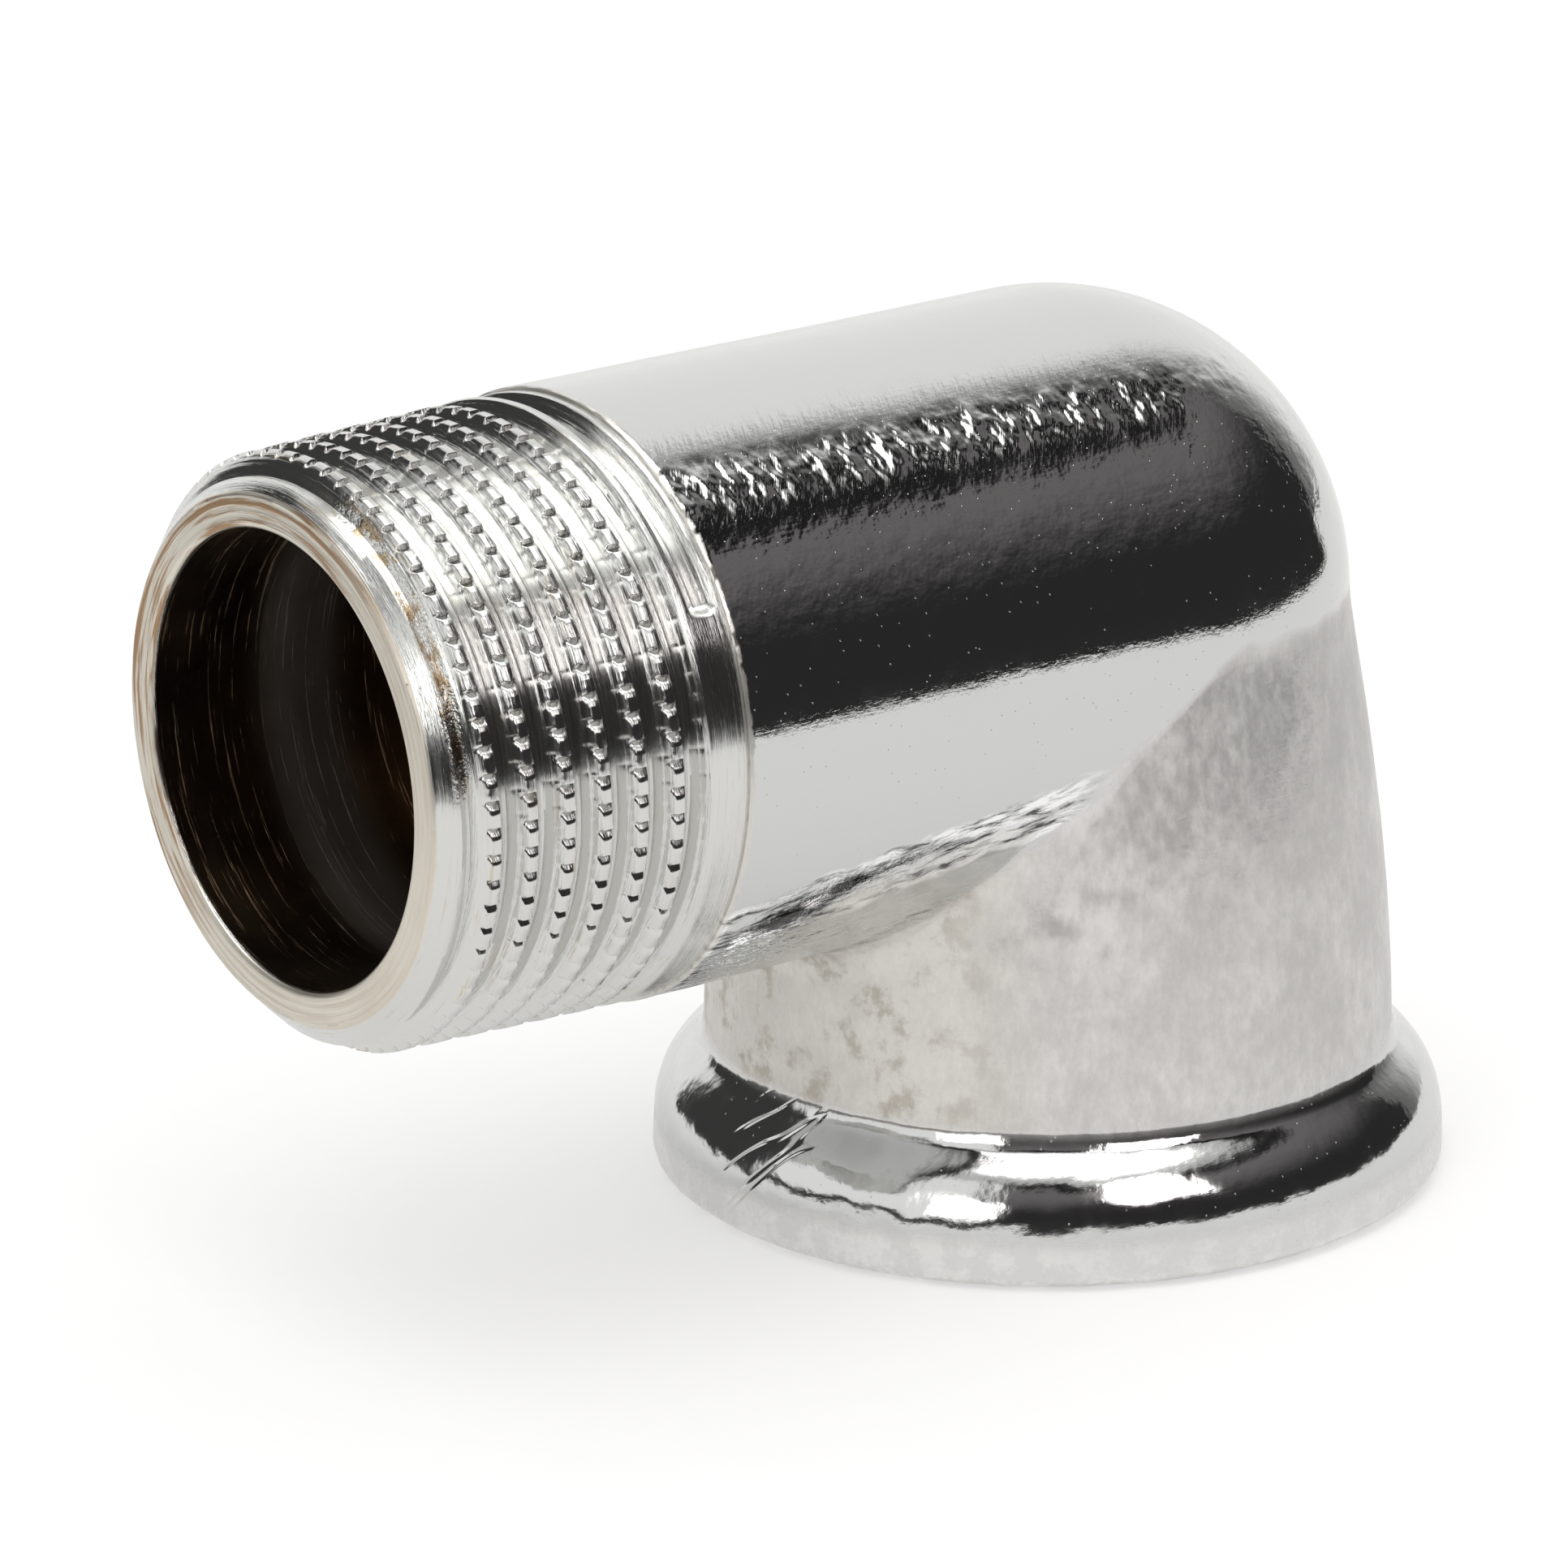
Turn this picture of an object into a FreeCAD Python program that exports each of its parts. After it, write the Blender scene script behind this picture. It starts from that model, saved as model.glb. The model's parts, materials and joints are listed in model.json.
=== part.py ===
import FreeCAD, Part
import math
import os
import re
import Sketcher

# A 90 degree street elbow: a male taper thread R 3/4 points along -X, and a female socket
# for the same thread points down along -Z. +Z is up and all sizes are in millimetres. Every
# outline is drawn about the point where the two axes cross; the finished pieces are then lifted,
# so that the origin is the centre of the female end face. The elbow is one brass casting,
# machined at its two ends, under a thin plating over the outside and both end faces.

DRIVING = {
    "male_reach": 41.1,            # axis crossing to male end face
    "female_reach": 26.9,          # axis crossing to female end face
    "shoulder_reach": 26.4,        # axis crossing to the end of the turned length
    "body_radius": 13.44,          # cast tube between the two ends
    "rim_radius": 11.4,            # outer edge of the male end face
    "lead_length": 0.9,            # lead chamfer of the male thread, along its axis
    "thread_pitch": 1.814,         # 14 threads to the inch
    "thread_radius": 13.2205,      # major radius at the gauge plane
    "thread_depth": 1.162,
    "groove_floor": 0.3023,        # width of the flat at the bottom of the thread's groove
    "thread_flank": 27.5,          # half of the thread angle, in degrees
    "tool_margin": 0.15,           # how far the cutting tool stands clear of the crest
    "gauge_length": 9.5,           # male end face to the gauge plane
    "taper_ratio": 16.0,           # 1 in 16 on diameter
    "thread_start": 42.126,        # centre of the groove where the tool enters, beyond the face
    "thread_end": 27.31,           # centre of the groove where the tool leaves the metal
    "bore_radius": 9.95,           # turned waterway in the male end
    "bore_depth": 5.6,
    "core_radius": 9.65,           # cored waterway behind the turned one
    "flare_radius": 15.6,          # female leg where it meets the collar
    "flare_start": 1.5,            # how far the leg runs straight before it flares
    "flare_finish": 9.9,           # how far it runs straight again before the collar
    "collar_height": 6.0,
    "collar_radius": 17.95,
    "collar_widest": 0.9,          # height of the widest ring above the female face
    "collar_foot": 16.9,           # outer edge of the female end face
    "crown_arc": 6.4,              # radius of the collar's rounded crown
    "foot_arc": 1.3,               # radius of the collar's lower edge
    "collar_root": 0.5,            # fillet between leg and collar
    "socket_radius": 12.0585,      # minor radius of the female thread
    "socket_depth": 16.3,
    "mouth_radius": 13.5,          # countersink at the socket's mouth
    "drill_cone": 1.6,             # height of the cone between socket and core
    "overrun": 1.0,                # how far cutting shapes run past the end faces
    "pilot_radius": 6.0,           # hollow left along both axes, inside the later waterway
    "plating": 0.05,
}

NOTHING = 1e-9       # a length that counts as zero
LEVEL_WITH = 0.2     # how close in height an edge must lie to be picked

doc = FreeCAD.newDocument("street_elbow")


def add_sheet():
    """Keep the driving dimensions as plain numbers with aliases."""
    made = doc.addObject("Spreadsheet::Sheet", "Sizes")
    for row, (alias, value) in enumerate(DRIVING.items(), start=1):
        made.set(f"A{row}", alias)
        made.set(f"B{row}", str(value))
        made.setAlias(f"B{row}", alias)
    doc.recompute()
    return made


sheet = add_sheet()


def bound(expression):
    """Point the bare names of driving dimensions in an expression at the sheet."""
    return re.sub(r"[a-z_]+", lambda w: f"Sizes.{w[0]}" if w[0] in DRIVING else w[0], expression)


def size(expression):
    """The present value of an expression of driving dimensions."""
    return float(sheet.evalExpression(bound(expression)))


def origin_feature(body, role):
    return next(f for f in body.Origin.OriginFeatures if f.Role == role)


class Profile:
    """A closed outline in a body's XZ plane, with every corner bound to the sheet."""

    def __init__(self, body, name):
        self.sketch = body.newObject("Sketcher::SketchObject", name)
        self.sketch.AttachmentSupport = [(origin_feature(body, "XZ_Plane"), "")]
        self.sketch.MapMode = "FlatFace"
        self.ends = []

    def spot(self, corner):
        return FreeCAD.Vector(size(corner[0]), size(corner[1]), 0)

    def pin_down(self, index, which, corner):
        """Bind one end of a curve to its two coordinates."""
        for axis, expression in zip(("DistanceX", "DistanceY"), corner):
            value = size(expression)
            if abs(value) < NOTHING:
                straight = "Vertical" if axis == "DistanceX" else "Horizontal"
                rule = Sketcher.Constraint(straight, -1, 1, index, which)
                self.sketch.addConstraint(rule)
                continue
            rule = Sketcher.Constraint(axis, -1, 1, index, which, value)
            number = self.sketch.addConstraint(rule)
            self.sketch.setExpression(f"Constraints[{number}]", bound(expression))

    def add(self, curve, flipped=False):
        """Append a curve and join its start to the curve before it."""
        index = self.sketch.addGeometry(curve, False)
        first, last = (2, 1) if flipped else (1, 2)
        if self.ends:
            rule = Sketcher.Constraint("Coincident", *self.ends[-1], index, first)
            self.sketch.addConstraint(rule)
        self.ends.append((index, last))
        self.start = getattr(self, "start", (index, first))
        return index, last

    def line(self, start, end, close=False):
        curve = Part.LineSegment(self.spot(start), self.spot(end))
        index, last = self.add(curve)
        if close:
            rule = Sketcher.Constraint("Coincident", index, last, *self.start)
            self.sketch.addConstraint(rule)
        self.pin_down(index, last, end)

    def polygon(self, corners):
        """Join the corners with lines and close the outline."""
        for start, end in zip(corners, corners[1:]):
            self.line(start, end)
        self.line(corners[-1], corners[0], close=True)

    def swell(self, start, first_pull, last_pull, end):
        """A smooth cubic curve, with its two inner control points bound as well."""
        corners = (start, first_pull, last_pull, end)
        curve = Part.BSplineCurve()
        curve.buildFromPolesMultsKnots([self.spot(c) for c in corners], (4, 4), (0, 1), False, 3)
        index, last = self.add(curve)
        self.pin_down(index, last, end)
        self.sketch.exposeInternalGeometry(index)
        centre = 3
        self.pin_down(index + 2, centre, first_pull)
        self.pin_down(index + 3, centre, last_pull)

    def arc(self, start, end, radius):
        """A short arc that runs downwards and bulges away from the profile's axis."""
        upper = self.spot(start)
        lower = self.spot(end)
        reach = size(radius)
        along = (lower - upper).normalize()
        outward = FreeCAD.Vector(-along.y, along.x, 0)
        depth = math.sqrt(reach**2 - (upper.distanceToPoint(lower) / 2) ** 2)
        centre = (upper + lower) * 0.5 - outward * depth
        circle = Part.Circle(centre, FreeCAD.Vector(0, 0, 1), reach)
        angles = [math.atan2(p.y - centre.y, p.x - centre.x) for p in (lower, upper)]
        curve = Part.ArcOfCircle(circle, *angles)
        index, last = self.add(curve, flipped=True)
        self.pin_down(index, last, end)
        number = self.sketch.addConstraint(Sketcher.Constraint("Radius", index, reach))
        self.sketch.setExpression(f"Constraints[{number}]", bound(radius))


def revolve(body, name, sketch, axis):
    turned = body.newObject("PartDesign::Revolution", name)
    turned.Profile = sketch
    turned.ReferenceAxis = (sketch, [axis])
    turned.Angle = 360
    sketch.Visibility = False
    return turned


def add_male_leg(body, skin):
    """The tube along -X: end face, lead chamfer, tapered blank and cast tube."""
    crest = f"thread_radius - {skin}"
    per_mm = "/ (2 * taper_ratio)"
    chamfer_end = f"{crest} - (gauge_length - lead_length) {per_mm}"
    crest_end = f"{crest} + (male_reach - shoulder_reach - gauge_length) {per_mm}"
    face = f"-(male_reach - {skin})"
    step = f"-(shoulder_reach - {skin})"
    corners = [
        ("0", "pilot_radius"),
        (face, "pilot_radius"),
        (face, f"rim_radius - {skin}"),
        ("-(male_reach - lead_length)", chamfer_end),
        (step, crest_end),
        (step, f"body_radius - {skin}"),
        ("0", f"body_radius - {skin}"),
    ]
    outline = Profile(body, "male_outline")
    outline.polygon(corners)
    return revolve(body, "male_leg", outline.sketch, "H_Axis")


def add_female_leg(body, skin):
    """The leg along -Z: bulged flare, then the half-round collar around the socket."""
    face = f"-(female_reach - {skin})"
    top = f"-(female_reach - collar_height) - {skin}"
    widest = "-(female_reach - collar_widest)"
    outline = Profile(body, "female_outline")
    outline.line(("pilot_radius", face), ("pilot_radius", "0"))
    outline.line(("pilot_radius", "0"), (f"body_radius - {skin}", "0"))
    flare_end = (f"flare_radius - {skin}", top)
    first_pull = (f"body_radius - {skin}", "-flare_start")
    last_pull = (f"flare_radius - {skin}", f"{top} + flare_finish")
    outline.swell((f"body_radius - {skin}", "0"), first_pull, last_pull, flare_end)
    crown_end = (f"collar_radius - {skin}", widest)
    outline.arc(flare_end, crown_end, f"crown_arc - {skin}")
    foot = ("collar_foot", face)
    outline.arc(crown_end, foot, "foot_arc")
    outline.line(foot, ("pilot_radius", face), close=True)
    return revolve(body, "female_leg", outline.sketch, "V_Axis")


def add_corner(body, skin):
    """The rounded back of the bend."""
    ball = body.newObject("PartDesign::AdditiveSphere", "corner")
    ball.setExpression("Radius", bound(f"body_radius - {skin}"))
    return ball



def cut_male_thread(body, skin):
    """A right-hand tapered groove, cut from beyond the end face to where the tool lifts out."""
    spread = f"{skin} / cos(thread_flank)"
    line = "(thread_radius - (thread_start + gauge_length - male_reach) / (2 * taper_ratio))"
    floor = f"{line} - thread_depth - {skin}"
    mouth = f"{line} + tool_margin"
    half = f"groove_floor / 2 + {spread}"
    narrow = f"({half} - {skin} * tan(thread_flank))"
    wide = f"({half} + (thread_depth + tool_margin) * tan(thread_flank))"
    corners = [
        (f"-thread_start - {narrow}", floor),
        (f"-thread_start + {narrow}", floor),
        (f"-thread_start + {wide}", mouth),
        (f"-thread_start - {wide}", mouth),
    ]
    outline = Profile(body, "groove_outline")
    outline.polygon(corners)
    groove = body.newObject("PartDesign::SubtractiveHelix", "male_thread")
    groove.Profile = outline.sketch
    groove.ReferenceAxis = (outline.sketch, ["H_Axis"])
    groove.Mode = "pitch-height-angle"
    groove.setExpression("Pitch", bound("thread_pitch"))
    groove.setExpression("Height", bound("thread_start - thread_end"))
    groove.setExpression("Angle", bound("atan(1 / (2 * taper_ratio))"))
    groove.LeftHanded = False
    outline.sketch.Visibility = False
    return groove


def round_edges(body, name, radius, wanted):
    """Fillet the edges of the body's last feature that lie where wanted says."""
    doc.recompute()
    last = body.Tip
    edges = [f"Edge{i}" for i, e in enumerate(last.Shape.Edges, start=1) if wanted(e)]
    fillet = body.newObject("PartDesign::Fillet", name)
    fillet.Base = (last, edges)
    fillet.setExpression("Radius", bound(radius))
    return fillet


def on_collar_root(edge):
    """True for the ring where the female leg meets its collar."""
    height = size("collar_height - female_reach")
    half_turn = math.pi * size("flare_radius")
    level = all(abs(v.Point.z - height) < LEVEL_WITH for v in edge.Vertexes)
    return level and edge.Length > half_turn


def add_form(name, skin):
    """The elbow's outside as one solid with no waterway, set back everywhere by skin."""
    body = doc.addObject("PartDesign::Body", name)
    add_male_leg(body, skin)
    add_corner(body, skin)
    add_female_leg(body, skin)
    round_edges(body, "collar_root_fillet", f"collar_root + {skin}", on_collar_root)
    cut_male_thread(body, skin)
    return body


def add_waterway():
    """The hollow through the elbow as one solid, running past both end faces."""
    body = doc.addObject("PartDesign::Body", "waterway")
    male_face = "-(male_reach + overrun)"
    step = "-(male_reach - bore_depth)"
    male = Profile(body, "male_hollow_outline")
    corners = [
        ("0", "0"),
        (male_face, "0"),
        (male_face, "bore_radius"),
        (step, "bore_radius"),
        (step, "core_radius"),
        ("0", "core_radius"),
    ]
    male.polygon(corners)
    revolve(body, "male_hollow", male.sketch, "H_Axis")
    bend = body.newObject("PartDesign::AdditiveSphere", "bend_hollow")
    bend.setExpression("Radius", bound("core_radius"))
    countersink = "-(female_reach - (mouth_radius - socket_radius))"
    female = Profile(body, "female_hollow_outline")
    corners = [
        ("0", "0"),
        ("core_radius", "0"),
        ("core_radius", "-(female_reach - socket_depth - drill_cone)"),
        ("socket_radius", "-(female_reach - socket_depth)"),
        ("socket_radius", countersink),
        ("mouth_radius + overrun", "-(female_reach + overrun)"),
        ("0", "-(female_reach + overrun)"),
    ]
    female.polygon(corners)
    revolve(body, "female_hollow", female.sketch, "V_Axis")
    return body


def add_cut(label, base, tool):
    cut = doc.addObject("Part::Cut", label)
    cut.Label = label
    cut.Base = base
    cut.Tool = tool
    return cut


def lift(piece):
    """Stand a finished piece on the plane of the female end face."""
    piece.setExpression("Placement.Base.z", bound("female_reach"))


def check_and_write(pieces):
    """Stop if anything failed, then write one STEP file per piece."""
    doc.recompute()
    failed = [o.Name for o in doc.Objects if "Invalid" in o.State or "Error" in o.State]
    if failed:
        raise RuntimeError(f"these objects failed: {failed}")
    os.makedirs("parts", exist_ok=True)
    for piece in pieces:
        shape = piece.Shape
        if shape.isNull() or not shape.isValid() or len(shape.Solids) != 1:
            raise RuntimeError(f"{piece.Label} is not one valid solid")
    for piece in pieces:
        piece.Shape.exportStep(f"parts/{piece.Label}.step")
        print(piece.Label, round(piece.Shape.Volume, 1), "mm3")


plated_form = add_form("plated_form", "0")
brass_form = add_form("brass_form", "plating")
waterway = add_waterway()
elbow_body = add_cut("elbow_body", brass_form, waterway)
skin_form = add_cut("skin_form", plated_form, brass_form)
chrome_plating = add_cut("chrome_plating", skin_form, waterway)
lift(elbow_body)
lift(chrome_plating)
check_and_write([elbow_body, chrome_plating])
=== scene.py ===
import json
import math

import bmesh
import bpy
import numpy as np
from mathutils import Matrix, Vector, noise


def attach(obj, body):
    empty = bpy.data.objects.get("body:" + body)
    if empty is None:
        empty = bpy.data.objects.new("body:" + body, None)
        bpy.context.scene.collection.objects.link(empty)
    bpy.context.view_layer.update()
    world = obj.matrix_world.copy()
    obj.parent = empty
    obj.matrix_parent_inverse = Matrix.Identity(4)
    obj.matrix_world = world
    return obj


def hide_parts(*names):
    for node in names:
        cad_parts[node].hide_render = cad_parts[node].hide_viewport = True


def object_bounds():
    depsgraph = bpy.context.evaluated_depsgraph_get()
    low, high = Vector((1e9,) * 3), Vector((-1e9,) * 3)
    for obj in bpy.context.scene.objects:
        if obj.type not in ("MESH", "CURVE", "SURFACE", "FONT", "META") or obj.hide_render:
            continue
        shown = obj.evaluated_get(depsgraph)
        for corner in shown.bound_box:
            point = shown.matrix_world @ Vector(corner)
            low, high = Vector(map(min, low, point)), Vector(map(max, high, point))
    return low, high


# The looks of a chrome-plated brass street elbow: a knurled male taper thread along -X and a
# collared female socket that stands on the floor. Shapes are worked out in millimetres from the
# point where the two axes cross, and are then put into the frame, in metres.

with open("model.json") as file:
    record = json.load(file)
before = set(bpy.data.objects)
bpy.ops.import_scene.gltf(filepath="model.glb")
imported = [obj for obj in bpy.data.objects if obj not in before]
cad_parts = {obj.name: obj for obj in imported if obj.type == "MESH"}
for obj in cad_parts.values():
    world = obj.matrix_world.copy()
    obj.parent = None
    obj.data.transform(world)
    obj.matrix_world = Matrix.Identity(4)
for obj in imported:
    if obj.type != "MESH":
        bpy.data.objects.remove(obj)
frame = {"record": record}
cad_low, cad_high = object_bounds()

MM = 0.001
MOUNTS = {m["name"]: m for m in frame["record"]["mounts"]}
TURN = 2 * math.pi

# Places and sizes that the frame gives
RISE = MOUNTS["male_end_face"]["pos_m"][2] / MM              # axis crossing above the floor
MALE_REACH = -MOUNTS["male_end_face"]["pos_m"][0] / MM       # axis crossing to male end face
THREAD_RADIUS = MOUNTS["male_thread"]["dims"]["r_mm"]        # at the gauge plane
GAUGE_LENGTH = MALE_REACH + MOUNTS["male_thread"]["pos_m"][0] / MM
SOCKET_RADIUS = MOUNTS["female_thread"]["dims"]["r_mm"]      # crests of the female thread
SOCKET_LENGTH = MOUNTS["female_thread"]["dims"]["length_mm"]
SOCKET_MIDDLE = RISE - MOUNTS["female_thread"]["pos_m"][2] / MM
BODY_RADIUS = round(cad_high.z / MM - RISE, 2)
COLLAR_RADIUS = round(cad_high.x / MM, 2)

# Male end
PITCH = 1.814
THREAD_DEPTH = 0.98
TAPER = 1 / 32                   # growth of the crest radius along the axis
SHOULDER = 14.7                  # end face to the end of the turned length
BAND_RADIUS = BODY_RADIUS - 0.15
RIM_RADIUS = 11.36
CHAMFER_SLOPE = 1.0              # rise of the lead chamfer over its axial length
FIRST_CREST = 2.149              # depth of crest 0 behind the end face, on the -Y side
LAST_GROOVE = 6
CREST_HALF = 0.24                # half the width of the flat that the thread has on top
FLANK = 1 / math.tan(math.radians(27.5))      # depth gained per axial length on a flank
GROOVE_END = math.radians(30.5)
KNURL_END = 11.7                 # the knurling wheel reaches this far behind the end face
KNURLS = 70                      # pits in one turn
BORE_RADIUS = 9.95
BORE_DEPTH = 5.6
CORE_RADIUS = 9.65
LIP = 0.3                        # how far the plating turns into the bore
BEND_BACK = 12.6                 # the cored bend starts this far back along the tube
BEND_DOWN = 9.9                  # and ends this far down the leg

# Female end
FLARE_RADIUS = 15.6
FLARE_START = 1.5                # lengths of the straight pulls at the ends of the leg's curve
FLARE_FINISH = 9.9
COLLAR_HEIGHT = 6.0
COLLAR_WIDEST = 0.75
COLLAR_FOOT = 16.9
COLLAR_FULLNESS = 3.33           # power of the collar's upper curve: 2 would be an ellipse
ROOT_FILLET = 0.7
MOUTH_RADIUS = 13.5

SKIN = 0.5                       # thickness that the plated shell has in this model
NECK_RADIUS = BODY_RADIUS - 2    # where the two plated pieces meet the brass at the shoulder
COLUMNS = 320                    # points round every ring of the cast pieces


def smooth(low, high, value):
    """0 below low, 1 above high, and an eased ramp between them."""
    share = np.clip((value - low) / (high - low), 0, 1)
    return share * share * (3 - 2 * share)


def bumps(points, scale, seed=0.0):
    """Smooth noise between about -1 and 1 at points, with features about 1 / scale across."""
    flat = points.reshape(-1, 3) * scale + seed
    values = [noise.noise(Vector(p)) for p in flat.tolist()]
    return np.array(values).reshape(points.shape[:-1])


# ---------------------------------------------------------------- meshes from rows of points


def make_piece(name, rows, crease):
    """A closed mesh from rows of points. Each row goes once round and repeats its first
    point, and the last row joins the first one again."""
    count, width = rows.shape[:2]
    world = (rows + np.array([0, 0, RISE])) * MM
    index = np.arange(count * width).reshape(count, width)
    after = np.roll(index, -1, axis=0)
    quads = np.stack([index[:, :-1], index[:, 1:], after[:, 1:], after[:, :-1]], axis=-1)
    mesh = bpy.data.meshes.new(name)
    mesh.from_pydata(world.reshape(-1, 3).tolist(), [], quads.reshape(-1, 4).tolist())
    work = bmesh.new()
    work.from_mesh(mesh)
    bmesh.ops.remove_doubles(work, verts=work.verts, dist=2e-7)
    bmesh.ops.recalc_face_normals(work, faces=work.faces)
    work.to_mesh(mesh)
    work.free()
    mesh.polygons.foreach_set("use_smooth", [True] * len(mesh.polygons))
    mesh.set_sharp_from_angle(angle=math.radians(crease))
    made = bpy.data.objects.new(name, mesh)
    bpy.context.scene.collection.objects.link(made)
    return made


def rings_about_x(depths, radii, angles):
    """Rows of points about the male axis. Angle 0 faces -Y and a quarter turn faces up."""
    depths, radii = np.broadcast_arrays(depths, radii)
    spread = np.broadcast_to(angles, depths.shape)
    return np.stack([depths - MALE_REACH, -radii * np.cos(spread), radii * np.sin(spread)], -1)


def rings_about_z(drops, radii, angles):
    """Rows of points about the female axis. Angle 0 faces +X and a quarter turn faces +Y."""
    drops, radii = np.broadcast_arrays(drops, radii)
    spread = np.broadcast_to(angles, drops.shape)
    return np.stack([radii * np.cos(spread), radii * np.sin(spread), -drops], -1)


def helix_rows(first, last, start, marks, turns):
    """Axial places of rows that follow a helix between two plain ends. Rows that would lie
    beyond an end pile up on it, and the doubled points are merged later."""
    steps = np.arange(math.floor((first - start) / PITCH), math.ceil((last - start) / PITCH) + 2)
    rows = start + (steps[:, None] + marks[None, :]).ravel() * PITCH
    return np.clip(rows[:, None] - PITCH * turns[None, :], first, last)


# ---------------------------------------------------------------- male thread


def knurl_columns():
    """Angles round the male end, close together at every knurl and wide apart between."""
    within = np.array([0, 0.07, 0.13, 0.30, 0.50, 0.70, 0.80, 0.90])
    shares = (np.arange(KNURLS)[:, None] + within[None, :]).ravel() / KNURLS
    return np.append(shares, 1.0) * TURN


def groove_depth(offset):
    """Depth below the crest at an axial offset from its middle: a flat crest, 55 degree
    flanks, and two narrow ledges left by the tool high on the flank nearer the end face."""
    away = np.abs(offset)
    slope = np.clip(away - CREST_HALF, 0, None) * FLANK
    rounded = smooth(CREST_HALF - 0.06, CREST_HALF + 0.02, away) * 0.05
    high_up = smooth(0.04, 0.12, slope) * (1 - smooth(0.55, 0.7, slope))
    ledges = 0.05 * np.sin(slope * 21.0) * high_up
    depth = slope + rounded + np.where(offset < 0, ledges, 0)
    floor = THREAD_DEPTH + 0.03 * np.cos(away / PITCH * TURN)
    return np.minimum(depth, floor)


def tool_marks(depth):
    """Fine rings that the threading tool leaves: a few microns, at uneven spacing."""
    return 0.010 * np.sin(depth * 23.0) * np.sin(depth * 7.3 + 1.0) + 0.005 * np.sin(depth * 51.0)


def knurl(depth, angles):
    """How far the knurling wheel pushes the crest down at its teeth and up beside them. The
    pits are steep on their upper side and run out gently below."""
    share = np.mod(angles / TURN * KNURLS + 0.5, 1) - 0.5
    notch = 0.27 * np.clip(1 - np.maximum(share / 0.07, -share / 0.30), 0, 1)
    lip = 0.04 * np.exp(-(((share - 0.13) / 0.06) ** 2))
    worn = 1 - smooth(KNURL_END - 0.35, KNURL_END + 0.35, depth)
    return notch * worn, lip * worn


def chamfer_radius(depth, angles):
    """Radius of the lead chamfer, with beads of burr where it meets the first groove. The
    beads sit on the upper part of that edge."""
    meeting = 0.87
    beads = np.clip(np.sin(angles * 140), 0, 1)
    upper = smooth(0.9, 1.2, angles) * (1 - smooth(1.8, 2.1, angles))
    burr = 0.05 * (upper * beads) * np.exp(-(((depth - meeting) / 0.14) ** 2))
    return RIM_RADIUS + depth * CHAMFER_SLOPE + 0.012 * np.sin(depth * 40.0) + burr


def male_radius(depth, angles):
    """Radius of the turned male end at a depth behind its face."""
    crest = THREAD_RADIUS + (depth - GAUGE_LENGTH) * TAPER
    phase = (depth - FIRST_CREST) / PITCH + angles / TURN
    strip = np.floor(phase)
    offset = (phase - np.round(phase)) * PITCH
    last = smooth(GROOVE_END - 0.02, GROOVE_END + 0.03, angles)
    present = np.where(strip < LAST_GROOVE, 1.0, np.where(strip > LAST_GROOVE, 0.0, last))
    plain = np.minimum(crest, BAND_RADIUS)
    land = crest + (plain - crest) * smooth(KNURL_END + 0.6, KNURL_END + 2.2, depth)
    notch, lip = knurl(depth, angles)
    on_crest = 1 - smooth(CREST_HALF, CREST_HALF + 0.15, np.abs(offset))
    turned = np.minimum(land + lip * on_crest - groove_depth(offset) * present, land - notch)
    turned = turned + tool_marks(depth + 0.3 * present * offset)
    chamfer = chamfer_radius(depth, angles)
    softness = 0.05
    gap = np.clip(softness - np.abs(turned - chamfer), 0, None)
    return np.minimum(turned, chamfer) - gap * gap / (4 * softness)


def face_rows(angles):
    """The male end face, with faint turned rings, from the bore's edge out to the chamfer."""
    radii = np.linspace(BORE_RADIUS + 0.12, RIM_RADIUS - 0.12, 12)
    depths = 0.012 + 0.010 * np.sin(radii * 17.0)
    depths[0] = 0.03
    radii = np.concatenate([[BORE_RADIUS], radii])
    depths = np.concatenate([[0.14], depths])
    return rings_about_x(depths[:, None], radii[:, None] + 0 * angles, angles)


def add_chrome_thread():
    """The plated male end: end face, lead chamfer, knurled thread and turned band."""
    angles = knurl_columns()
    near_side = np.array([0.45, 0.39, 0.34, 0.30, 0.265, 0.235, 0.205, 0.18, 0.15, 0.128, 0.10])
    far_side = np.array([0.10, 0.135, 0.19, 0.34, 0.495])
    marks = np.concatenate([-near_side, [0.0], far_side])
    depths = helix_rows(0.0, SHOULDER, FIRST_CREST, marks, angles / TURN)
    outside = rings_about_x(depths, male_radius(depths, angles), angles)
    face = face_rows(angles)
    hidden = np.array([[SHOULDER, NECK_RADIUS], [LIP, BORE_RADIUS + 1.0], [LIP, BORE_RADIUS]])
    back = rings_about_x(hidden[:, :1], hidden[:, 1:] + 0 * angles, angles)
    return make_piece("chrome_thread", np.concatenate([face, outside, back]), crease=50)


# ---------------------------------------------------------------- cast body


def leg_radius(drop):
    """Radius of the female leg at a drop below the crossing: a cubic curve that starts as
    wide as the tube and runs out straight at the collar."""
    share = np.linspace(0, 1, 200)
    rest = 1 - share
    foot = RISE - COLLAR_HEIGHT
    early = 3 * rest * rest * share * FLARE_START
    late = 3 * rest * share**2 * (foot - FLARE_FINISH)
    down = early + late + share**3 * foot
    narrow = rest**3 + 3 * rest * rest * share
    leg = np.interp(drop, down, FLARE_RADIUS + (BODY_RADIUS - FLARE_RADIUS) * narrow)
    return with_root_fillet(leg, collar_curve(drop))


def collar_curve(drop):
    """Radius of the collar's full upper curve, carried on inward above the collar."""
    share = np.clip((RISE - COLLAR_WIDEST - drop) / (COLLAR_HEIGHT - COLLAR_WIDEST), 0, None)
    return COLLAR_RADIUS - (COLLAR_RADIUS - FLARE_RADIUS) * share**COLLAR_FULLNESS


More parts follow.
